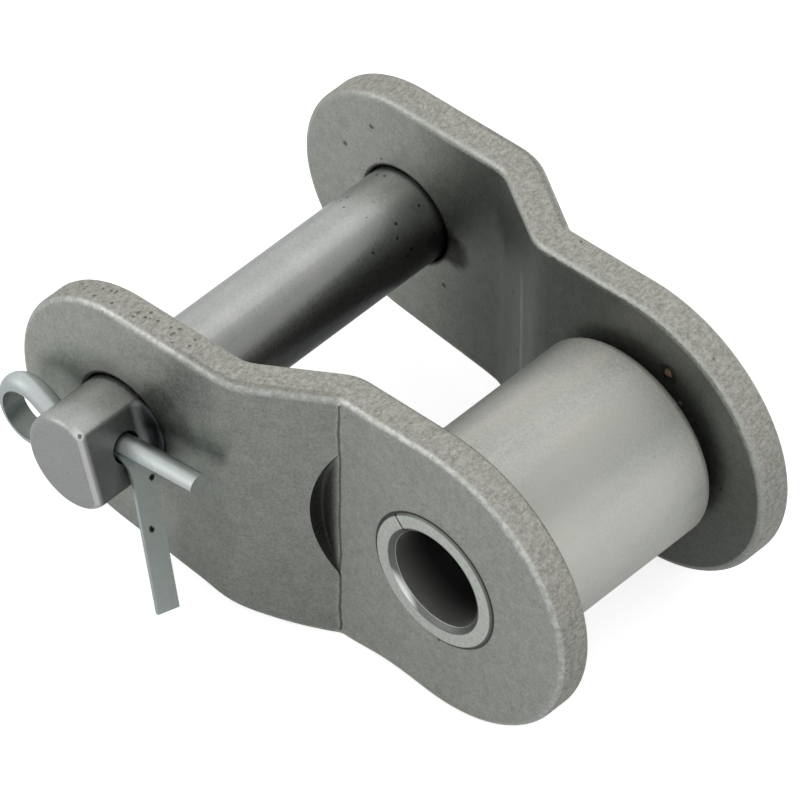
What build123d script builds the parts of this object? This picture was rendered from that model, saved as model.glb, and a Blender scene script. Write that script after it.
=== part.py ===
"""Cottered offset link of a single-strand roller chain, 3/4 inch pitch.

Two cranked side plates stand close together at the bush end and wide apart at the pin end.
A curled bush is pressed through the bush end and carries a free roller.
A headed pin slips through the pin end, and a cotter through its flattened tip keeps it there.

Frame: origin at the middle of the bush bore, +X from the pin to the bush along the chain line,
+Y along both axes away from the cotter, +Z up.
"""

from build123d import *
from math import asin, atan2, cos, degrees, radians, sin, sqrt, tan
import os

# Chain sizes
PITCH = 19.05
BUSH_END_GAP = 12.70
PIN_END_GAP = 18.66

# Side plates
PLATE_THICKNESS = 2.10
BUSH_END_RADIUS = 8.80
PIN_END_RADIUS = 7.42
CRANK_ANGLE = 31.0
CREASE_DISTANCE = 6.60
CREASE_RADIUS = 0.60
CREASE_BACK_RADIUS = 3.00
BEND_RADIUS = 2.00
SWELL_DISTANCE = 7.90
SWELL_HEIGHT = 0.75
SWELL_HALF_LENGTH = 6.00
RIM_RADIUS = 0.45
RELIEF_CLEARANCE = 0.53
PIN_HOLE_ROUNDING = 0.20
PIN_HOLE_CLEARANCE = 0.08

# Bush
BUSH_DIAMETER = 8.00
BUSH_STAND_OUT = 0.12
BUSH_CHAMFER = 0.25
BUSH_OUTER_CHAMFER = 0.10
SEAM_WIDTH = 0.12
SEAM_ANGLE = 132.0
BORE_CLEARANCE = 0.05

# Roller
ROLLER_DIAMETER = 11.70
ROLLER_CLEARANCE = 0.05
ROLLER_SIDE_PLAY = 0.55
ROLLER_EDGE_RADIUS = 0.45
ROLLER_BORE_CHAMFER = 0.25

# Pin
PIN_DIAMETER = 5.60
PIN_TIP_LENGTH = 4.15
PIN_TIP_RADIUS = 0.40
FLAT_DISTANCE = 1.80
FLAT_INSET = 0.10
FLAT_RUN_OUT = 0.80
FLAT_EDGE_RADIUS = 0.40
HEAD_DIAMETER = 8.20
HEAD_HEIGHT = 1.40
HEAD_EDGE_RADIUS = 0.50
END_PLAY = 0.10

# Cotter and its cross hole
CROSS_HOLE_DIAMETER = 1.80
CROSS_HOLE_INSET = 1.50
COTTER_DIAMETER = 1.40
COTTER_TURN = 17.0
COTTER_HALF_GAP = 0.02
EYE_DISTANCE = 5.30
EYE_INNER_RADIUS = 1.50
EYE_NECK_START = 2.75
EYE_NECK_RADIUS = 0.90
SHORT_LEG_START = 1.40
SHORT_LEG_ROLL = -15.0
SHORT_LEG_DROOP = 8.0
SHORT_LEG_DROOP_RADIUS = 8.0
SHORT_LEG_LENGTH = 4.60
LONG_LEG_START = 1.50
LONG_LEG_BEND = 78.0
LONG_LEG_BEND_RADIUS = 1.05
LONG_LEG_SPLAY = 14.0
LONG_LEG_SPLAY_RADIUS = 4.0
LONG_LEG_LENGTH = 6.90

# Sizes worked out from the ones above
BUSH_RADIUS = BUSH_DIAMETER / 2
BORE_RADIUS = PIN_DIAMETER / 2 + BORE_CLEARANCE
PIN_RADIUS = PIN_DIAMETER / 2
PIN_HOLE_RADIUS = PIN_RADIUS + PIN_HOLE_CLEARANCE
RELIEF_RADIUS = PIN_END_RADIUS + RELIEF_CLEARANCE
BUSH_LENGTH = BUSH_END_GAP + 2 * (PLATE_THICKNESS + BUSH_STAND_OUT)
ROLLER_LENGTH = BUSH_END_GAP - 2 * ROLLER_SIDE_PLAY
PIN_END_FACE = PIN_END_GAP / 2 + PLATE_THICKNESS
PIN_TIP = PIN_END_FACE + PIN_TIP_LENGTH
CROSS_HOLE_DISTANCE = PIN_END_FACE + CROSS_HOLE_INSET
SPARE = 2.0


def rod(radius, start, end, x=0.0):
    """A round bar along Y from start to end, with its axis at x."""
    middle = (start + end) / 2
    return Pos(x, middle, 0) * Rot(X=90) * Cylinder(radius, end - start)


def sharp_rims(plate):
    """The edges where a plate's two broad faces meet its blanked edge."""
    sides = [face for face in plate.faces() if abs(face.normal_at().Y) < 1e-6]
    edges = ShapeList(edge for face in sides for edge in face.edges())
    return edges - edges.filter_by(Axis.Y)


def plate_outline():
    """A plate's outline: two round ends, straight flanks, and a swell under the crease."""
    lean = (BUSH_END_RADIUS - PIN_END_RADIUS) / PITCH
    upright = sqrt(1 - lean**2)
    bush_top = Vector(-lean, upright) * BUSH_END_RADIUS
    bush_low = Vector(-lean, -upright) * BUSH_END_RADIUS
    pin_top = Vector(-PITCH - PIN_END_RADIUS * lean, PIN_END_RADIUS * upright)
    pin_low = Vector(pin_top.X, -pin_top.Y)
    along = Vector(upright, -lean)
    middle = pin_low + along * ((-SWELL_DISTANCE - pin_low.X) / along.X)
    turn = 2 * atan2(SWELL_HEIGHT, SWELL_HALF_LENGTH)
    radius = SWELL_HALF_LENGTH / (2 * sin(turn))
    turn = degrees(turn)

    into_swell = JernArc(middle - along * SWELL_HALF_LENGTH, along, radius, -turn)
    crest = JernArc(into_swell @ 1, into_swell % 1, radius, 2 * turn)
    out_of_swell = JernArc(crest @ 1, crest % 1, radius, -turn)
    outline = [
        Line(bush_top, pin_top),
        ThreePointArc(pin_top, (-PITCH - PIN_END_RADIUS, 0), pin_low),
        Line(pin_low, into_swell @ 0),
        into_swell,
        crest,
        out_of_swell,
        Line(out_of_swell @ 1, bush_low),
        ThreePointArc(bush_low, (BUSH_END_RADIUS, 0), bush_top),
    ]
    return Plane.XZ * make_face(Wire(outline))


def side_plate():
    """The cranked plate on the cotter's side, at -Y."""
    near, wide = BUSH_END_GAP / 2, PIN_END_GAP / 2
    corner_shift = PLATE_THICKNESS * tan(radians(CRANK_ANGLE / 2))
    run = (wide - near) / tan(radians(CRANK_ANGLE))
    crease = -CREASE_DISTANCE
    left = -PITCH - PIN_END_RADIUS - SPARE
    right = BUSH_END_RADIUS + SPARE
    outer_face = [
        (left, -wide - PLATE_THICKNESS),
        (crease - run, -wide - PLATE_THICKNESS),
        (crease, -near - PLATE_THICKNESS),
        (right, -near - PLATE_THICKNESS),
    ]
    inner_face = [
        (right, -near),
        (crease - corner_shift, -near),
        (crease - run - corner_shift, -wide),
        (left, -wide),
    ]
    ribbon = make_face(Polyline(*outer_face, *inner_face, close=True))
    ribbon = round_corner(ribbon, outer_face[1], BEND_RADIUS + PLATE_THICKNESS)
    ribbon = round_corner(ribbon, outer_face[2], CREASE_RADIUS)
    ribbon = round_corner(ribbon, inner_face[1], CREASE_BACK_RADIUS)
    ribbon = round_corner(ribbon, inner_face[2], BEND_RADIUS)
    folded = extrude(ribbon, amount=BUSH_END_RADIUS + SPARE, both=True)

    depth = wide + PLATE_THICKNESS + SPARE
    plate = folded & extrude(plate_outline(), amount=depth, dir=(0, -1, 0))
    plate = fillet(sharp_rims(plate), RIM_RADIUS)

    outside = -wide - PLATE_THICKNESS - SPARE
    plate -= rod(RELIEF_RADIUS, outside, -near - PLATE_THICKNESS)
    plate -= rod(BUSH_RADIUS, outside, 0)
    plate -= rod(PIN_HOLE_RADIUS, outside, 0, x=-PITCH)
    mouths = plate.edges().filter_by(GeomType.CIRCLE).filter_by(
        lambda edge: abs(edge.radius - PIN_HOLE_RADIUS) < 1e-6
    )
    return fillet(mouths, PIN_HOLE_ROUNDING)


def round_corner(face, place, radius):
    """Rounds the corner of a flat face that lies at the given place."""
    return fillet(face.vertices().sort_by_distance(Vector(*place))[0], radius)


def bush():
    """Strip curled into a tube, with its seam left as a narrow gap."""
    half = BUSH_LENGTH / 2
    tube = rod(BUSH_RADIUS, -half, half) - rod(BORE_RADIUS, -half, half)
    circles = tube.edges().filter_by(GeomType.CIRCLE)
    bore_mouths = circles.filter_by(lambda edge: abs(edge.radius - BORE_RADIUS) < 1e-6)
    tube = chamfer(bore_mouths, BUSH_CHAMFER)
    circles = tube.edges().filter_by(GeomType.CIRCLE)
    outer_rims = circles.filter_by(lambda edge: abs(edge.radius - BUSH_RADIUS) < 1e-6)
    tube = chamfer(outer_rims, BUSH_OUTER_CHAMFER)
    seam = Pos(BUSH_RADIUS, 0, 0) * Box(2 * BUSH_RADIUS, BUSH_LENGTH, SEAM_WIDTH)
    return tube - Rot(Y=-SEAM_ANGLE) * seam


def roller():
    """The free roller on the bush."""
    half = ROLLER_LENGTH / 2
    bore_radius = BUSH_RADIUS + ROLLER_CLEARANCE
    barrel = rod(ROLLER_DIAMETER / 2, -half, half)
    barrel = fillet(barrel.edges().filter_by(GeomType.CIRCLE), ROLLER_EDGE_RADIUS)
    barrel -= rod(bore_radius, -half, half)
    mouths = barrel.edges().filter_by(GeomType.CIRCLE).filter_by(
        lambda edge: abs(edge.radius - bore_radius) < 1e-6
    )
    return chamfer(mouths, ROLLER_BORE_CHAMFER)


def pin():
    """The headed pin, with a flat and a cross hole at its tip."""
    head_face = PIN_END_FACE + END_PLAY
    shaft = rod(PIN_RADIUS, -PIN_TIP, head_face)
    head = rod(HEAD_DIAMETER / 2, head_face, head_face + HEAD_HEIGHT)
    head = fillet(head.edges().group_by(Axis.Y)[-1], HEAD_EDGE_RADIUS)

    flat_end = -PIN_END_FACE + FLAT_INSET
    cutter_length = PIN_TIP + flat_end + SPARE
    cutter = Pos(FLAT_DISTANCE, flat_end, 0) * Box(
        PIN_DIAMETER, cutter_length, 2 * PIN_DIAMETER, align=(Align.MIN, Align.MAX, Align.CENTER)
    )
    run_out = cutter.edges().filter_by(Axis.Z).sort_by(Axis.X)[:2].sort_by(Axis.Y)[-1]
    shaft -= fillet(run_out, FLAT_RUN_OUT)
    flat = shaft.faces().filter_by(Axis.X).sort_by(Axis.X)[-1]
    shaft = fillet(flat.edges().filter_by(Axis.Y), FLAT_EDGE_RADIUS)
    shaft = fillet(shaft.faces().sort_by(Axis.Y)[0].edges(), PIN_TIP_RADIUS)

    cross_hole = Pos(0, -CROSS_HOLE_DISTANCE, 0) * Rot(Y=90) * Cylinder(
        CROSS_HOLE_DIAMETER / 2, 2 * PIN_DIAMETER
    )
    return Pos(-PITCH, 0, 0) * Rot(Y=-COTTER_TURN) * (shaft + head - cross_hole)


def half_round(plane, roll=0.0):
    """The wire's section: its flat side lies on the path, its round side towards the plane's +Y."""
    flat_side = Rectangle(COTTER_DIAMETER, COTTER_DIAMETER, align=(Align.CENTER, Align.MAX))
    return plane * Rot(Z=roll) * (Circle(COTTER_DIAMETER / 2) - flat_side)


def cotter_pin():
    """Half-round wire folded into an eye, with a short leg and a long leg that is bent down.

    The flat side of the wire is drawn in the plane of the eye, with the cross hole along X
    and the side plate on the -Z side.
    """
    # The eye is a teardrop: its sides leave the hole through the neck at this angle
    gap = COTTER_HALF_GAP
    reach = Vector(EYE_DISTANCE - EYE_NECK_START, gap + EYE_NECK_RADIUS)
    spread = asin((EYE_INNER_RADIUS + EYE_NECK_RADIUS) / reach.length) - atan2(reach.Y, reach.X)
    sideways = Vector(sin(spread), cos(spread)) * EYE_INNER_RADIUS
    spread = degrees(spread)

    upper = Line((SHORT_LEG_START, gap), (-EYE_NECK_START, gap))
    neck_up = JernArc(upper @ 1, upper % 1, EYE_NECK_RADIUS, -spread)
    side_up = Line(neck_up @ 1, Vector(-EYE_DISTANCE, 0) + sideways)
    eye = JernArc(side_up @ 1, side_up % 1, EYE_INNER_RADIUS, 180 + 2 * spread)
    neck_end = Vector((neck_up @ 1).X, -(neck_up @ 1).Y)
    side_down = Line(eye @ 1, neck_end)
    neck_down = JernArc(neck_end, side_down % 1, EYE_NECK_RADIUS, -spread)
    lower = Line(neck_down @ 1, (LONG_LEG_START, -gap))
    bend = JernArc(lower @ 1, lower % 1, LONG_LEG_BEND_RADIUS, -LONG_LEG_BEND)
    fold = Wire([upper, neck_up, side_up, eye, side_down, neck_down, lower, bend])
    start = Plane(upper @ 0, x_dir=(0, 0, 1), z_dir=upper % 0)
    wire = sweep(half_round(start), path=fold)

    # The short leg goes on out of the hole, drooping a little and rolled about itself
    droop = JernArc(upper @ 0, (1, 0), SHORT_LEG_DROOP_RADIUS, -SHORT_LEG_DROOP)
    short_leg = Line(droop @ 1, droop @ 1 + (droop % 1) * SHORT_LEG_LENGTH)
    start = Plane(droop @ 0, x_dir=(0, 0, -1), z_dir=droop % 0)
    wire += sweep(half_round(start, SHORT_LEG_ROLL), path=Wire([droop, short_leg]))

    # The long leg turns away from the side plate below its bend
    leg = Plane(bend @ 1, x_dir=bend % 1, z_dir=(bend % 1).cross(Vector(0, 0, 1)))
    splay = JernArc((0, 0), (1, 0), LONG_LEG_SPLAY_RADIUS, LONG_LEG_SPLAY)
    long_leg = Line(splay @ 1, splay @ 1 + (splay % 1) * LONG_LEG_LENGTH)
    wire += leg.location * sweep(half_round(Plane.YZ), path=Wire([splay, long_leg]))

    turn = radians(COTTER_TURN)
    hole = Plane(
        (-PITCH, -CROSS_HOLE_DISTANCE, 0), x_dir=(cos(turn), 0, sin(turn)), z_dir=(0, -1, 0)
    )
    return hole.location * wire


PARTS = {
    "cotter_side_plate": side_plate(),
    "head_side_plate": side_plate().mirror(Plane.XZ),
    "bush": bush(),
    "roller": roller(),
    "pin": pin(),
    "cotter_pin": cotter_pin(),
}

os.makedirs("parts", exist_ok=True)
for name, shape in PARTS.items():
    shape.label = name
    export_step(shape, f"parts/{name}.step")
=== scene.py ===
# %% [markdown]
# # A cottered offset link of roller chain
# An offset link joins a chain that has an odd number of pitches. Its two plates are cranked: close
# together round a bush and roller at one end, wide apart round a plain pin at the other.
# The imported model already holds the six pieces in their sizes, in metres, with the middle of
# the bush bore at the origin. What is left for Blender is how steel looks, so this lesson is mostly
# about finishes, light and the camera.

from math import cos, radians, sin
from types import SimpleNamespace

import bpy
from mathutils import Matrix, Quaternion, Vector


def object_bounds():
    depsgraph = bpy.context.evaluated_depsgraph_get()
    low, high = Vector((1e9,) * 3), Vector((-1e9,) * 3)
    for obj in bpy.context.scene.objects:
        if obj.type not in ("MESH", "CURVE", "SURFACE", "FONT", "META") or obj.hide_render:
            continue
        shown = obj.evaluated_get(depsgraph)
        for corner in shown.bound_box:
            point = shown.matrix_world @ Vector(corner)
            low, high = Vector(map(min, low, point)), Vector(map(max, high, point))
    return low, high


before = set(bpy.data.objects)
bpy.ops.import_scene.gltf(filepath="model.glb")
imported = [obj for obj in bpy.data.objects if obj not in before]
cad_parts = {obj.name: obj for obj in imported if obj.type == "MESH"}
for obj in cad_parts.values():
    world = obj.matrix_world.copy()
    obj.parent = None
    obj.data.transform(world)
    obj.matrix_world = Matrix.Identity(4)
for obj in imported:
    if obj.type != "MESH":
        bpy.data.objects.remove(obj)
cad_low, cad_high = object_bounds()
MM = 0.001
MM_PER_METRE = 1000.0
print("pieces:", ", ".join(sorted(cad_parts)))
print("size in mm:", [round(side / MM, 2) for side in cad_high - cad_low])

# %% [markdown]
# ## The camera
# The picture was taken from far away with a long lens, from the right, in front and above.
# The place and the lens were worked out once from edges whose sizes are known, so they are written
# here as plain numbers. A Track To constraint could aim the camera too, but it needs a second
# object to aim at. Here a track quaternion turns the camera's -Z towards the target, and a small
# roll about the view axis follows.

# %% Camera
EYE = Vector((0.25947, -0.28123, 0.40149))
TARGET = Vector((-0.00989, -0.00065, 0.00014))
ROLL = radians(-0.044)
LENS = 493.55
SENSOR_WIDTH = 36.0
NEAREST, FARTHEST = 0.01, 10.0

camera_data = bpy.data.cameras.new("long_lens")
camera_data.sensor_width = SENSOR_WIDTH
camera_data.lens = LENS
camera_data.clip_start = NEAREST
camera_data.clip_end = FARTHEST
camera = bpy.data.objects.new("long_lens", camera_data)
camera.rotation_mode = "QUATERNION"
camera.location = EYE
camera.rotation_quaternion = (TARGET - EYE).to_track_quat("-Z", "Y") @ Quaternion((0, 0, 1), ROLL)
bpy.context.scene.collection.objects.link(camera)
bpy.context.scene.camera = camera
bpy.context.scene.view_settings.view_transform = "Standard"
print("camera stands", round((EYE - TARGET).length, 3), "m away")

# %% [markdown]
# ## Shader sums as Python sums
# A finish is a tree of small nodes. Writing each Math node by hand hides the idea, so one small
# class wraps a socket and turns + - * / into Math nodes. Any other node comes from one method of
# the finish. Numbers that never change are worked out in Python and never become nodes.

# %% Socket sums
class Sum:
    """A shader value that arithmetic can be written on."""

    def __init__(self, finish, socket):
        self.finish = finish
        self.socket = socket

    def math(self, operation, *values, clamp=False):
        settings = {"operation": operation, "use_clamp": clamp}
        return self.finish.node("ShaderNodeMath", settings, dict(enumerate((self, *values))))

    def __add__(self, other):
        return self.math("ADD", other)

    def __sub__(self, other):
        return self.math("SUBTRACT", other)

    def __mul__(self, other):
        return self.math("MULTIPLY", other)

    def __truediv__(self, other):
        return self.math("DIVIDE", other)

    def __radd__(self, other):
        return self + other

    def __rmul__(self, other):
        return self * other

    def __rsub__(self, other):
        return (self * -1) + other

    def __abs__(self):
        return self.math("ABSOLUTE")

    def clamped(self):
        return self.math("ADD", 0.0, clamp=True)


def length(a, b):
    """The length of the flat vector that has these two parts."""
    return (a * a + b * b).math("SQRT")


# %% [markdown]
# ## One builder for all the finishes
# All six pieces are steel, so their finishes differ only in numbers: how large the grain is, how
# many pits there are and where oil has gathered. Painted images could show the same, but they
# have to be unwrapped and they blur close up, so every mark here is a sum of noise and distance.
# A mark is a mask, a value that is 1 on the mark and 0 away from it.

# %% The finish builder
MIX_FACTOR, MIX_FIRST, MIX_SECOND, MIX_RESULT = 0, 6, 7, 2
NOISE_LOW, NOISE_HIGH = 0.30, 0.70
PIT_CORE = 0.55
CHOICE_SOFTNESS = 0.02


class Finish:
    """One material, with a Principled shader at the end of its tree."""

    def __init__(self, name):
        self.material = bpy.data.materials.new(name)
        self.material.use_nodes = True
        self.tree = self.material.node_tree
        self.shader = next(n for n in self.tree.nodes if n.type == "BSDF_PRINCIPLED")

    def node(self, kind, settings=None, inputs=None, out=0):
        """Adds a node. Inputs are values or links by socket name or number."""
        node = self.tree.nodes.new(kind)
        for name, value in (settings or {}).items():
            setattr(node, name, value)
        for name, value in (inputs or {}).items():
            self.feed(node.inputs[name], value)
        return Sum(self, node.outputs[out])

    def feed(self, socket, value):
        if isinstance(value, Sum):
            self.tree.links.new(value.socket, socket)
        else:
            socket.default_value = value

    def set(self, **values):
        """Sets the shader's own sockets. Base_Color stands for the socket Base Color."""
        for name, value in values.items():
            self.feed(self.shader.inputs[name.replace("_", " ")], value)

    def place(self):
        """The point on the piece, in metres."""
        return self.node("ShaderNodeTexCoord", out="Object")

    def millimetres(self):
        """The point's x, y and z in millimetres."""
        return [part / MM for part in self.axes(self.place())]

    def normal(self):
        """The x, y and z of the direction that the surface faces, on the piece's own axes."""
        return self.axes(self.node("ShaderNodeTexCoord", out="Normal"))

    def axes(self, vector):
        """A vector's three parts."""
        split = self.node("ShaderNodeSeparateXYZ", inputs={0: vector}).socket.node
        return [Sum(self, socket) for socket in split.outputs]

    def stretched(self, vector, scale):
        settings = {"operation": "MULTIPLY"}
        return self.node("ShaderNodeVectorMath", settings, {0: vector, 1: scale})

    def ramp(self, value, low, high, start=0.0, end=1.0):
        """A smooth step from start to end while the value goes from low to high."""
        inputs = {"Value": value, "From Min": low, "From Max": high, "To Min": start, "To Max": end}
        return self.node("ShaderNodeMapRange", {"interpolation_type": "SMOOTHSTEP"}, inputs)

    def fade(self, value, low, high):
        """A smooth step down from 1 to 0 while the value goes from low to high."""
        return self.ramp(value, low, high, 1.0, 0.0)

    def contrast(self, noise):
        """Noise spread out, because plain noise stays close to a half."""
        return self.ramp(noise, NOISE_LOW, NOISE_HIGH)

    def grain(self, size, detail=3.0, roughness=0.6, scale=(1, 1, 1)):
        """Noise from 0 to 1 about a half, with patches of about that size in millimetres."""
        inputs = {
            "Vector": self.stretched(self.place(), scale),
            "Scale": MM_PER_METRE / size,
            "Detail": detail,
            "Roughness": roughness,
        }
        return self.node("ShaderNodeTexNoise", inputs=inputs)

    def pits(self, spacing, radius, share):
        """Round spots in a share of the cells. The spacing and the radius are in millimetres."""
        inputs = {"Vector": self.place(), "Scale": MM_PER_METRE / spacing}
        cells = self.node("ShaderNodeTexVoronoi", inputs=inputs)
        colour = Sum(self, cells.socket.node.outputs["Color"])
        chosen = self.fade(self.axes(colour)[0], share - CHOICE_SOFTNESS, share + CHOICE_SOFTNESS)
        edge = radius / spacing
        return self.fade(cells, edge * PIT_CORE, edge) * chosen

    def spot(self, place, size):
        """One ragged spot. The place and the size are in millimetres."""
        where = tuple(part * MM for part in place)
        settings = {"operation": "DISTANCE"}
        away = self.node("ShaderNodeVectorMath", settings, {0: self.place(), 1: where}, out="Value")
        ragged = away / MM + (self.grain(size, detail=2.0) - 0.5) * size
        return self.fade(ragged, size * 0.5, size)

    def spots(self, places, size):
        """The sum of several spots of one size."""
        return sum((self.spot(place, size) for place in places[1:]), self.spot(places[0], size))

    def weighted(self, parts):
        """The sum of masks, each times its weight, kept between 0 and 1."""
        first, first_weight = parts[0]
        total = first * first_weight
        for mask, weight in parts[1:]:
            total = total + mask * weight
        return total.clamped()

    def blend(self, factor, first, second):
        """A colour between two colours. The Mix node's colour sockets go by number."""
        inputs = {MIX_FACTOR: factor, MIX_FIRST: first, MIX_SECOND: second}
        return self.node("ShaderNodeMix", {"data_type": "RGBA"}, inputs, out=MIX_RESULT)

    def bump(self, height, depth):
        """A normal from a height between 0 and 1, that deep in millimetres."""
        inputs = {"Height": height, "Distance": depth * MM, "Strength": 1.0}
        return self.node("ShaderNodeBump", inputs=inputs)


# %% [markdown]
# ## The plates: shot-peened steel
# The plates are blanked from strip, cranked, then peened with steel shot. The broad faces are an
# even matt grey with a fine grain and a few dark pits. The blanked edge is lighter and coarser,
# with short streaks across it. Handling has worn the outer rims, and they carry a painted highlight.
# The shader has to know where the rim is. The outline is the hull of two circles, with a low swell
# below the crease, so the distance to it is a short sum on the point's own coordinates, and it
# stays right wherever the plate moves.

# %% Distance from a plate's outline
PITCH = 19.05
BUSH_END_RADIUS = 8.80
PIN_END_RADIUS = 7.42
SWELL_AT, SWELL_HALF, SWELL_HEIGHT = -7.90, 6.00, 0.75


def outline_distance(finish, x, z):
    """Millimetres outside the plate's outline, negative inside it."""
    along = (x * (-1 / PITCH)).clamped()
    reach = length(x + along * PITCH, z)
    radius = BUSH_END_RADIUS - along * (BUSH_END_RADIUS - PIN_END_RADIUS)
    swell = finish.ramp(abs(x - SWELL_AT), 0.0, SWELL_HALF, SWELL_HEIGHT, 0.0)
    return reach - radius - swell * finish.fade(z, -1.0, 0.0)


# %% Sides, edge and rim of a plate
RIM_FROM, RIM_TO = -0.48, -0.36


def plate_sides(f):
    """Masks for the sides of a plate, its blanked edge, and its worn rim with a painted highlight.
    """
    x, y, z = f.millimetres()
    sideways = f.normal()[1]
    facing = abs(sideways)
    outer = f.ramp(sideways * y, 0.0, 1.0)
    near_rim = f.ramp(outline_distance(f, x, z), RIM_FROM, RIM_TO)
    return SimpleNamespace(
        facing=facing,
        outer=outer,
        inner=f.fade(sideways * y, -1.0, 0.0),
        broad=1 - near_rim,
        edge=near_rim * f.fade(facing, 0.25, 0.80),
        # Worn rim: partly real wear, partly a painted highlight on the rounded outer rim.
        worn_and_highlight=near_rim * outer * f.ramp(facing, 0.40, 0.65) * f.fade(facing, 0.90, 0.98),
    )


# %% [markdown]
# ## Where a plate is dark
# Painted shade darkens the crease, the wall of the relief beside it, the recess, and the gaps round
# the bush and the pin. More painted shade lies on the inner faces, thinly on the crank and round the
# pin's hole; old oil on the inner faces only makes them rougher. On the inner face the bend has left
# a low ridge, which gets a painted highlight. All of these follow the plate's own sizes. A slow
# noise moves the two lines of the bend a little, because a bent edge is never quite straight.

# %% Crease, relief, seats and painted shade
CREASE_AT = -6.60
RIDGE_AT = -9.10
RELIEF_RADIUS = 7.95
BUSH_RADIUS = 4.00
PIN_HOLE_RADIUS = 2.88
CRANK_FROM, CRANK_TO = -16.8, -14.6
FILM_FROM, FILM_TO = -20.0, -13.0
WOBBLE = 0.30


def plate_places(f, side):
    """Masks for the painted shade on a plate, and for the painted highlight on its ridge."""
    x, _, z = f.millimetres()
    from_bush = length(x, z)
    from_pin = length(x + PITCH, z)
    wobble = f.grain(1.3, detail=2.0) * WOBBLE - WOBBLE / 2
    outside = side.outer * side.broad

    # Painted shade: the crease, the relief's wall and recess, the gaps round bush and pin, the halo
    # round the pin and the crank.
    crease_shade = f.fade(abs(x - CREASE_AT + wobble), 0.02, 0.12)
    wall_shade = f.fade(abs(from_bush - RELIEF_RADIUS), 0.10, 0.22) * f.fade(side.facing, 0.40, 0.75)
    recess_shade = f.fade(from_bush, RELIEF_RADIUS - 0.3, RELIEF_RADIUS)
    recess_shade = recess_shade * f.fade(x, CREASE_AT - 0.7, CREASE_AT)
    bush_seat = f.fade(abs(from_bush - BUSH_RADIUS - 0.04), 0.03, 0.11)
    pin_seat = f.fade(from_pin, PIN_HOLE_RADIUS + 0.12, PIN_HOLE_RADIUS + 0.30)
    halo_shade = f.fade(from_pin, PIN_HOLE_RADIUS, PIN_HOLE_RADIUS + 2.0)
    crank_shade = f.ramp(x, CRANK_FROM, CRANK_TO) * f.fade(x, CREASE_AT - 0.3, CREASE_AT)
    # Painted highlight along the low ridge of the bend on the inner face.
    ridge_highlight = f.fade(abs(x - RIDGE_AT + wobble), 0.05, 0.30) * f.fade(z, 3.0, 4.5)
    return SimpleNamespace(
        crease_shade=crease_shade * outside,
        wall_shade=wall_shade * side.broad,
        recess_shade=recess_shade * outside,
        seat_shade=bush_seat + pin_seat,
        halo_shade=halo_shade * outside,
        crank_shade=crank_shade * side.outer,
        # Painted shade on the inner faces; the same mask marks their oil film for roughness.
        inner_film_and_shade=side.inner * f.ramp(x, FILM_FROM, FILM_TO) * side.broad,
        ridge_highlight=ridge_highlight * side.inner * side.broad,
    )


# %% [markdown]
# ## Single marks and the plates' colours
# Noise gives a surface its character, but it can't be told where to put a mark. A few marks
# stand out one by one: five pits, a smear of oil where the pin leaves the far plate, a painted dark
# reflection by the cotter, and a fleck of rust with a painted glint beside the roller. Each is a
# ragged spot at a place of its own.

# %% The plates' marks and colours
SINGLE_PITS = [
    (-16.3, 9.33, -3.3),
    (-10.4, 8.30, 1.0),
    (-9.6, 7.78, -2.3),
    (-21.5, 9.33, 4.7),
    (-23.4, 9.33, 2.2),
]
SINGLE_PIT_SIZE = 0.19
SMEAR_AT, SMEAR_SIZE = (-15.9, 9.33, -0.3), 1.4
# A painted dark reflection of the pin's end and the cotter on the near plate.
PAINTED_REFLECTION_AT, PAINTED_REFLECTION_SIZE = (-16.3, -11.43, 2.2), 2.6
RUST_AT, RUST_SIZE, RUST_STAIN_SIZE = (2.15, 6.35, 5.45), 0.32, 0.70
# The glint is a painted highlight.
GLINT_AT, GLINT_SIZE = (3.02, 6.35, 3.93), 0.16
PIT_ROW_AT = -10.4

FACE_DARK, FACE_LIGHT = (0.310, 0.325, 0.290, 1), (0.520, 0.538, 0.486, 1)
EDGE_DARK, EDGE_LIGHT = (0.240, 0.237, 0.208, 1), (0.500, 0.497, 0.452, 1)
# Colour of the worn outer rim, lightened further as a painted highlight.
WORN_RIM_AND_HIGHLIGHT = (0.600, 0.605, 0.580, 1)
# Painted shade on the crank, the inner faces and round the pin's hole.
PLATE_PAINTED_SHADE = (0.045, 0.050, 0.045, 1)
# Painted highlight on the ridge of the bend.
RIDGE_HIGHLIGHT = (0.520, 0.530, 0.500, 1)
# Dark colour for real pits and for painted shade in the crease, relief and gaps.
DIRT_AND_SHADE = (0.030, 0.028, 0.025, 1)
RUST = (0.860, 0.560, 0.420, 1)
GLINT = (0.800, 0.800, 0.780, 1)
PEENING_DEPTH = 0.016
print("single marks on the plates:", len(SINGLE_PITS) + 4)


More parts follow.
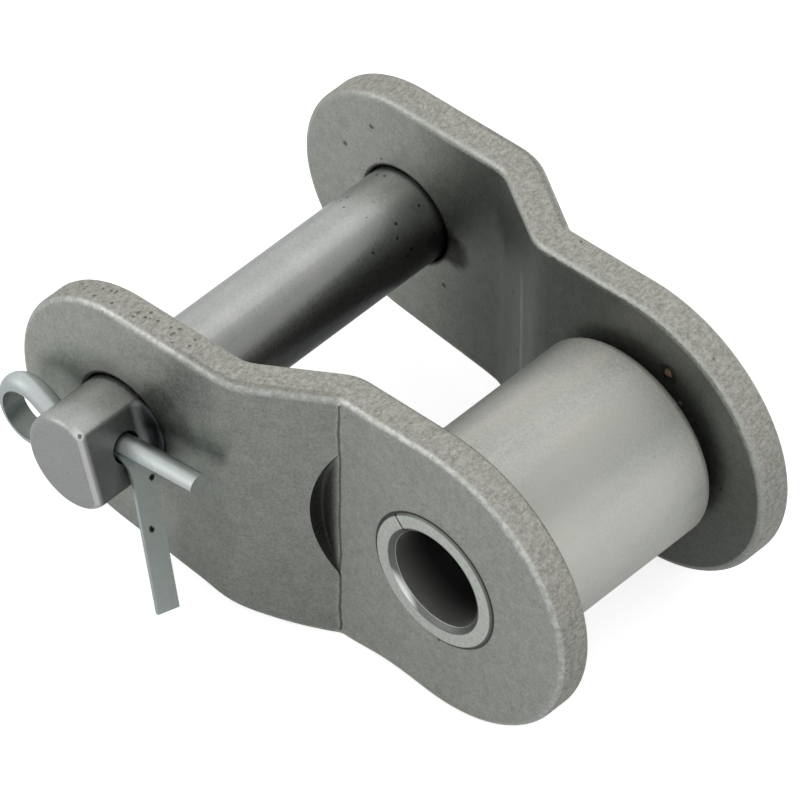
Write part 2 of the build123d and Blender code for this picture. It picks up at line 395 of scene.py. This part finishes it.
# %% The plates' finish
def plate_finish():
    f = Finish("peened_plate_steel")
    x, y, z = f.millimetres()
    side = plate_sides(f)
    place = plate_places(f, side)

    # Grain of the peened skin, and coarser marks across the blanked edge
    cloud = f.grain(3.0, detail=2.0)
    mottle = f.contrast(f.grain(0.65, detail=2.0))
    fine = f.contrast(f.grain(0.17, roughness=0.7))
    streak = f.contrast(f.grain(0.22, roughness=0.7, scale=(1, 0.55, 1)))
    specks = f.ramp(f.grain(0.11, detail=2.0), 0.55, 0.68)
    sparkle = f.ramp(f.grain(0.32), 0.42, 0.64)
    pits = (f.pits(1.9, 0.14, 0.18) + f.pits(0.9, 0.07, 0.16)).clamped() * side.broad
    pit_row = f.fade(x, -15.0, -13.0) * f.ramp(z, 1.0, 4.0) * f.fade(abs(y - PIT_ROW_AT), 0.4, 0.9)
    edge_pits = (f.pits(0.40, 0.13, 0.50) * pit_row + f.pits(1.1, 0.10, 0.15)) * side.edge

    face_tone = (fine * 0.55 + mottle * 0.25 + cloud * 0.4 - 0.1).clamped()
    edge_tone = (fine * 0.5 + streak * 0.5).clamped()
    face = f.blend(face_tone, FACE_DARK, FACE_LIGHT)
    edge = f.blend(edge_tone, EDGE_DARK, EDGE_LIGHT)
    colour = f.blend(side.edge, face, edge)
    # The worn rim is painted lighter: part wear, part painted highlight.
    colour = f.blend(side.worn_and_highlight * (0.25 + sparkle * 0.75), colour, WORN_RIM_AND_HIGHLIGHT)
    # Painted shade on the crank, the inner faces and in a halo round the pin's hole.
    painted_shade = place.crank_shade * 0.26 + place.inner_film_and_shade * 0.55 + place.halo_shade * 0.38
    colour = f.blend(painted_shade, colour, PLATE_PAINTED_SHADE)
    # Painted highlight on the inner face's ridge.
    colour = f.blend(place.ridge_highlight * 0.42, colour, RIDGE_HIGHLIGHT)
    # Real pits, specks, smear and rust stain, mixed with painted shade in the crease, relief and
    # gaps and a painted dark reflection.
    dirt_and_shade = f.weighted([
        (pits, 0.70),
        (edge_pits, 0.60),
        (specks, 0.22),
        (place.crease_shade, 0.70),
        (place.wall_shade, 0.90),
        (place.recess_shade, 0.80),
        (place.seat_shade, 0.85),
        (f.spots(SINGLE_PITS, SINGLE_PIT_SIZE), 0.70),
        (f.spot(SMEAR_AT, SMEAR_SIZE), 0.90),
        (f.spot(PAINTED_REFLECTION_AT, PAINTED_REFLECTION_SIZE), 0.36),
        (f.spot(RUST_AT, RUST_STAIN_SIZE), 0.60),
    ])
    colour = f.blend(dirt_and_shade, colour, DIRT_AND_SHADE)
    colour = f.blend(f.spot(RUST_AT, RUST_SIZE), colour, RUST)
    colour = f.blend(f.spot(GLINT_AT, GLINT_SIZE), colour, GLINT)

    roughness = 0.31 + fine * 0.08 + side.edge * 0.18 + place.inner_film_and_shade * 0.08
    height = fine * 0.4 + mottle * 0.3 + side.edge * streak * 0.6 - pits * 0.8 - edge_pits * 0.9
    normal = f.bump(height, PEENING_DEPTH)
    f.set(Base_Color=colour, Metallic=1.0, Roughness=roughness, Normal=normal)
    return f.material


# %% [markdown]
# ## The roller: turned and tumbled steel
# The roller is turned, hardened and tumbled, which leaves a pale satin skin with slightly warm
# patches. Painted shade and painted light run along its length as soft stripes, one darker and one
# lighter, and painted shade darkens the side that faces the pin. One more lamp could make such
# stripes, but it would light every piece and stay put when the roller turns. So the stripes are
# masks on the direction that the surface faces, and they turn with the roller.

# %% The roller's finish
ROLLER_DARK, ROLLER_LIGHT = (0.385, 0.398, 0.368, 1), (0.620, 0.626, 0.585, 1)
WARM_PATCH = (0.620, 0.588, 0.545, 1)
# Painted shade on the side facing the pin, and painted shade and painted light as stripes.
ROLLER_PAINTED_SHADE = (0.050, 0.052, 0.048, 1)
PAINTED_SHADE_STRIPE = (0.330, 0.340, 0.315, 1)
PAINTED_LIGHT_STRIPE = (0.780, 0.785, 0.740, 1)
ROLLER_PIT = (0.12, 0.11, 0.10, 1)
TUMBLING_DEPTH = 0.006


def roller_finish():
    f = Finish("tumbled_roller_steel")
    side = f.normal()[0]
    fine = f.contrast(f.grain(0.16, roughness=0.7))
    cloud = f.grain(4.5)
    bands = f.grain(2.2, detail=2.0, scale=(1, 0.10, 1))
    warm = f.ramp(f.grain(5.5, detail=2.0, scale=(1, 0.4, 1)), 0.42, 0.62)
    # Masks on the surface's direction: painted shade on the side facing the pin, a painted shade
    # stripe and a painted light stripe.
    painted_shade = f.fade(side, -0.85, -0.35)
    shade_stripe = f.ramp(side, 0.05, 0.45) * f.fade(side, 0.62, 0.90)
    bright = f.ramp(side, 0.62, 0.95)

    tone = (fine * 0.55 + cloud * 0.6 + bands * 0.9 - 0.52).clamped()
    colour = f.blend(tone, ROLLER_DARK, ROLLER_LIGHT)
    colour = f.blend(warm * 0.45, colour, WARM_PATCH)
    # Painted shade and painted light from the masks above.
    colour = f.blend(painted_shade * 0.45, colour, ROLLER_PAINTED_SHADE)
    colour = f.blend(shade_stripe * 0.40, colour, PAINTED_SHADE_STRIPE)
    colour = f.blend(bright * 0.35, colour, PAINTED_LIGHT_STRIPE)
    colour = f.blend(f.pits(2.1, 0.12, 0.12) * 0.5, colour, ROLLER_PIT)

    roughness = 0.52 + fine * 0.08 + cloud * 0.06
    normal = f.bump(fine, TUMBLING_DEPTH)
    f.set(Base_Color=colour, Metallic=1.0, Roughness=roughness, Normal=normal)
    return f.material


# %% [markdown]
# ## The bush: curled strip
# The bush is strip curled into a tube, and only its turned end faces and its bore show. The bore
# gets painted shade deep inside and painted light towards its mouths. The chamfer at the mouth gets
# painted shade with one short painted highlight, and painted shade lies where the bush meets the
# plate.
# Each of these places could have a material of its own, but then the faces would have to be
# sorted. All of them follow the distance from the bush's axis, so one length picks them out.

# %% The bush's finish
BORE_RADIUS = 2.85
MOUTH_RADIUS = 3.15
RING_DARK, RING_LIGHT = (0.560, 0.585, 0.540, 1), (0.740, 0.765, 0.710, 1)
# Painted shade in the gap where the bush meets the plate.
BUSH_GAP_SHADE = (0.050, 0.045, 0.040, 1)
# Painted shade deep in the bore and on the chamfer, painted light towards the mouths.
BORE_SHADE, BORE_MOUTH_LIGHT = (0.110, 0.115, 0.108, 1), (0.620, 0.635, 0.610, 1)
# Painted highlight on the mouth's chamfer.
MOUTH_HIGHLIGHT = (0.850, 0.865, 0.840, 1)
TURNING_DEPTH = 0.004


def bush_finish():
    f = Finish("curled_bush_steel")
    x, y, z = f.millimetres()
    radius = length(x, z)
    inside = f.fade(radius, MOUTH_RADIUS - 0.04, MOUTH_RADIUS + 0.04)
    chamfer = f.ramp(radius, BORE_RADIUS + 0.003, BORE_RADIUS + 0.020) * inside
    # A short painted highlight on the lower left of the chamfer.
    mouth_highlight = f.fade(x + z, -4.32, -3.88) * chamfer
    towards_mouth = f.ramp(abs(y), 6.0, 8.5)
    # Painted shade along the bush's outer rim, in the gap at the plate.
    gap_shade = f.ramp(radius, BUSH_RADIUS - 0.14, BUSH_RADIUS - 0.07)
    fine = f.contrast(f.grain(0.20, roughness=0.7))
    rings = f.grain(0.25, detail=2.0, scale=(0.2, 1, 0.2))

    colour = f.blend(fine * 0.8, RING_DARK, RING_LIGHT)
    colour = f.blend(gap_shade * 0.8, colour, BUSH_GAP_SHADE)
    # Painted shade deep in the bore and on the chamfer, painted light near the mouths.
    colour = f.blend(inside, colour, f.blend(towards_mouth, BORE_SHADE, BORE_MOUTH_LIGHT))
    colour = f.blend(chamfer * 0.88, colour, BORE_SHADE)
    colour = f.blend(mouth_highlight * 0.9, colour, MOUTH_HIGHLIGHT)

    roughness = 0.40 + fine * 0.08
    normal = f.bump(rings, TURNING_DEPTH)
    f.set(Base_Color=colour, Metallic=1.0, Roughness=roughness, Normal=normal)
    return f.material


# %% [markdown]
# ## The pin: ground steel
# The pin is ground and polished, so it is the shiniest piece and shows its surroundings. Where it
# rubs in the plates it is dull and stained, and painted shade darkens the side that faces the
# roller.
# Its tip has a flat, which is turned a little from the chain line, as the cotter's hole is. The
# flat gets painted shade, most of all where it runs out, and the edge of the tip a painted
# highlight.
# The flat could be found by the direction it faces, but a part of the round shaft faces that way
# too. So the finish measures how far out a point lies in that direction, and only on the tip.

# %% The pin's finish
COTTER_TURN = radians(17.0)
FLAT_DISTANCE = 1.80
TIP_UNTIL, SHAFT_FROM = -11.3, -11.0
TIP_PIT_AT, TIP_PIT_SIZE = (-18.15, -15.40, 2.58), 0.16
PIN_DARK, PIN_LIGHT = (0.345, 0.362, 0.350, 1), (0.505, 0.508, 0.488, 1)
# Painted highlight on the edge of the tip.
TIP_EDGE_HIGHLIGHT = (0.68, 0.68, 0.66, 1)
# Dark colour for real stains and pits, and for painted shade on the flat and on the side facing the
# roller.
PIN_STAINS_AND_SHADE = (0.045, 0.047, 0.050, 1)
GRINDING_DEPTH = 0.003


def pin_finish():
    f = Finish("ground_pin_steel")
    x, y, z = f.millimetres()
    normal_x, normal_y, normal_z = f.normal()
    fine = f.contrast(f.grain(0.15, roughness=0.65))
    rings = f.grain(0.22, scale=(0.15, 1, 0.15))
    cloud = f.contrast(f.grain(2.2, detail=4.0))

    shaft = f.ramp(y, TIP_UNTIL, SHAFT_FROM)
    across = (x + PITCH) * cos(COTTER_TURN) + z * sin(COTTER_TURN)
    # Painted shade on the tip's flat, darker where it runs out.
    flat = f.ramp(across, FLAT_DISTANCE - 0.10, FLAT_DISTANCE - 0.02) * (1 - shaft)
    run_out = f.ramp(across, FLAT_DISTANCE + 0.02, FLAT_DISTANCE + 0.30) * flat
    # Painted highlight on the rounded edge of the tip.
    tip_highlight = f.fade(y, -15.3, -15.1) * f.fade(abs(normal_y), 0.93, 0.99) * f.ramp(across, 0.8, 1.6)
    stain = f.ramp(abs(y), 6.8, 9.3) * cloud * shaft
    # Painted shade on the side facing the roller, more on its lower part.
    painted_shade = f.ramp(normal_x, 0.10, 0.60) * shaft
    low_painted_shade = f.fade(normal_z, -0.20, 0.50) * painted_shade
    pits = f.pits(0.5, 0.11, 0.35) * f.ramp(y, 3.0, 6.0) * f.fade(y, 8.9, 9.3)

    tone = (fine * 0.5 + rings * 0.3 + cloud * shaft * 0.25 - 0.05).clamped()
    colour = f.blend(tone, PIN_DARK, PIN_LIGHT)
    # Painted highlight on the tip's edge.
    colour = f.blend(tip_highlight * 0.8, colour, TIP_EDGE_HIGHLIGHT)
    # Real stains and pits, mixed with painted shade on the flat, its run-out and the side facing the
    # roller.
    stains_and_shade = f.weighted([
        (stain, 0.35),
        (pits + f.spot(TIP_PIT_AT, TIP_PIT_SIZE), 0.80),
        (flat, 0.58),
        (run_out, 0.42),
        (painted_shade, 0.50),
        (low_painted_shade, 0.34),
    ])
    colour = f.blend(stains_and_shade, colour, PIN_STAINS_AND_SHADE)

    roughness = 0.27 + fine * 0.08 + stain * 0.12 + flat * 0.08
    normal = f.bump(rings, GRINDING_DEPTH)
    f.set(Base_Color=colour, Metallic=1.0, Roughness=roughness, Normal=normal)
    return f.material


# %% [markdown]
# ## The cotter: zinc-plated wire
# The cotter is drawn steel wire under a thin coat of zinc, which is bluish and pale. The coat
# could be a layer of its own over a steel shader, but on wire this thin no layer would show, so
# fine noise on colour and roughness is enough. The long leg has two dark nicks.

# %% The cotter's finish
NICKS = [(-15.95, -12.55, -0.95), (-14.77, -13.78, -2.99)]
NICK_SIZE = 0.24
WIRE_DARK, WIRE_LIGHT = (0.43, 0.47, 0.465, 1), (0.63, 0.675, 0.665, 1)
NICK = (0.030, 0.028, 0.028, 1)
DRAWING_DEPTH = 0.005


def cotter_finish():
    f = Finish("zinc_cotter_wire")
    fine = f.grain(0.18, detail=4.0, roughness=0.7)
    drawn = f.grain(0.5)
    tone = (fine * 0.7 + drawn * 0.5 - 0.1).clamped()
    colour = f.blend(tone, WIRE_DARK, WIRE_LIGHT)
    colour = f.blend(f.spots(NICKS, NICK_SIZE), colour, NICK)
    roughness = 0.33 + fine * 0.14
    normal = f.bump(fine, DRAWING_DEPTH)
    f.set(Base_Color=colour, Metallic=1.0, Roughness=roughness, Normal=normal)
    return f.material


# %% [markdown]
# ## Finishes onto pieces
# Each piece gets one finish, and both plates share theirs, because they are cut from one strip.
# Only the material changes. The pieces keep their meshes and their places, so the dressed link
# has exactly the sizes of the solid one.

# %% Put each finish on its piece
plate_steel = plate_finish()
FINISHES = {
    "cotter_side_plate": plate_steel,
    "head_side_plate": plate_steel,
    "bush": bush_finish(),
    "roller": roller_finish(),
    "pin": pin_finish(),
    "cotter_pin": cotter_finish(),
}
for name, material in FINISHES.items():
    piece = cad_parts[name]
    piece.data.materials.clear()
    piece.data.materials.append(material)
    print(name, "wears", material.name)

# %% [markdown]
# ## Floor, surroundings and lamps
# Steel shows what is around it, so a plain white studio matters more than strong lamps. The camera
# sees pure white. Reflections see the same white room, but on the floor they also see the shade
# under the link, and that shade is what gives the steel its dark tones. Two large soft lamps only
# add a little direction, one from above and behind, and one from the left.

# %% Helpers for the white studio
def ray_switch(tree, rays, others, chosen):
    """Shows the second shader to the named kinds of ray, and the first to all others."""
    path = tree.nodes.new("ShaderNodeLightPath")
    seen = path.outputs[rays[0]]
    for kind in rays[1:]:
        either = tree.nodes.new("ShaderNodeMath")
        either.operation = "MAXIMUM"
        tree.links.new(seen, either.inputs[0])
        tree.links.new(path.outputs[kind], either.inputs[1])
        seen = either.outputs[0]
    mix = tree.nodes.new("ShaderNodeMixShader")
    tree.links.new(seen, mix.inputs["Fac"])
    tree.links.new(others, mix.inputs[1])
    tree.links.new(chosen, mix.inputs[2])
    return mix.outputs[0]


def glowing(tree, shader, strength):
    """A shader with a plain white glow added."""
    glow = tree.nodes.new("ShaderNodeEmission")
    glow.inputs["Strength"].default_value = strength
    both = tree.nodes.new("ShaderNodeAddShader")
    tree.links.new(shader, both.inputs[0])
    tree.links.new(glow.outputs[0], both.inputs[1])
    return both.outputs[0]


# %% Floor
FLOOR_SIZE = 1.6
PAPER = 0.80
GLOW_IN_REFLECTIONS = 0.05
GLOW_TO_CAMERA = 0.72


def make_floor():
    half = FLOOR_SIZE / 2
    corners = [(-half, -half), (half, -half), (half, half), (-half, half)]
    mesh = bpy.data.meshes.new("floor")
    mesh.from_pydata([(a, b, cad_low.z) for a, b in corners], [], [(0, 1, 2, 3)])
    floor = bpy.data.objects.new("floor", mesh)
    bpy.context.scene.collection.objects.link(floor)
    paper = Finish("white_paper")
    paper.set(Base_Color=(PAPER, PAPER, PAPER, 1), Roughness=0.9)
    tree = paper.tree
    plain = paper.shader.outputs[0]
    mirrored = glowing(tree, plain, GLOW_IN_REFLECTIONS)
    shown = ray_switch(tree, ["Is Glossy Ray", "Is Transmission Ray"], plain, mirrored)
    shown = ray_switch(tree, ["Is Camera Ray"], shown, glowing(tree, plain, GLOW_TO_CAMERA))
    end = next(n for n in tree.nodes if n.type == "OUTPUT_MATERIAL")
    tree.links.new(shown, end.inputs["Surface"])
    mesh.materials.append(paper.material)


make_floor()
print("the floor lies", round(-cad_low.z / MM, 2), "mm below the axes")

# %% World
WHITE_RAYS = ["Is Camera Ray", "Is Glossy Ray", "Is Transmission Ray"]
ROOM_TINT, ROOM_LIGHT = (0.97, 0.98, 1.0, 1), 0.80
WHITE, WHITE_STRENGTH = (1, 1, 1, 1), 1.0

world = bpy.data.worlds.new("white_room")
bpy.context.scene.world = world
world.use_nodes = True
room = world.node_tree
calm = next(n for n in room.nodes if n.type == "BACKGROUND")
calm.inputs["Color"].default_value = ROOM_TINT
calm.inputs["Strength"].default_value = ROOM_LIGHT
bright = room.nodes.new("ShaderNodeBackground")
bright.inputs["Color"].default_value = WHITE
bright.inputs["Strength"].default_value = WHITE_STRENGTH
room_end = next(n for n in room.nodes if n.type == "OUTPUT_WORLD")
room_light = ray_switch(room, WHITE_RAYS, calm.outputs[0], bright.outputs[0])
room.links.new(room_light, room_end.inputs["Surface"])

# %% Lamps
LAMP_SIZE = 0.30
LAMP_AIM = Vector((-0.009, 0, 0))
TOP_LAMP_AT, TOP_LAMP_POWER, TOP_LAMP_TINT = Vector((-0.20, 0.28, 0.50)), 0.07, (1.0, 0.98, 0.95)
LEFT_LAMP_AT, LEFT_LAMP_POWER, LEFT_LAMP_TINT = Vector((-0.45, -0.35, 0.25)), 0.20, (1, 1, 1)


def soft_lamp(name, place, power, tint):
    """A square area lamp that looks at the link."""
    data = bpy.data.lights.new(name, "AREA")
    data.size = LAMP_SIZE
    data.energy = power
    data.color = tint
    lamp = bpy.data.objects.new(name, data)
    lamp.location = place
    aim = LAMP_AIM - lamp.location
    lamp.rotation_euler = aim.to_track_quat("-Z", "Y").to_euler()
    bpy.context.scene.collection.objects.link(lamp)
    print(name, "gives", power, "W")


soft_lamp("top_soft", TOP_LAMP_AT, TOP_LAMP_POWER, TOP_LAMP_TINT)
soft_lamp("left_soft", LEFT_LAMP_AT, LEFT_LAMP_POWER, LEFT_LAMP_TINT)
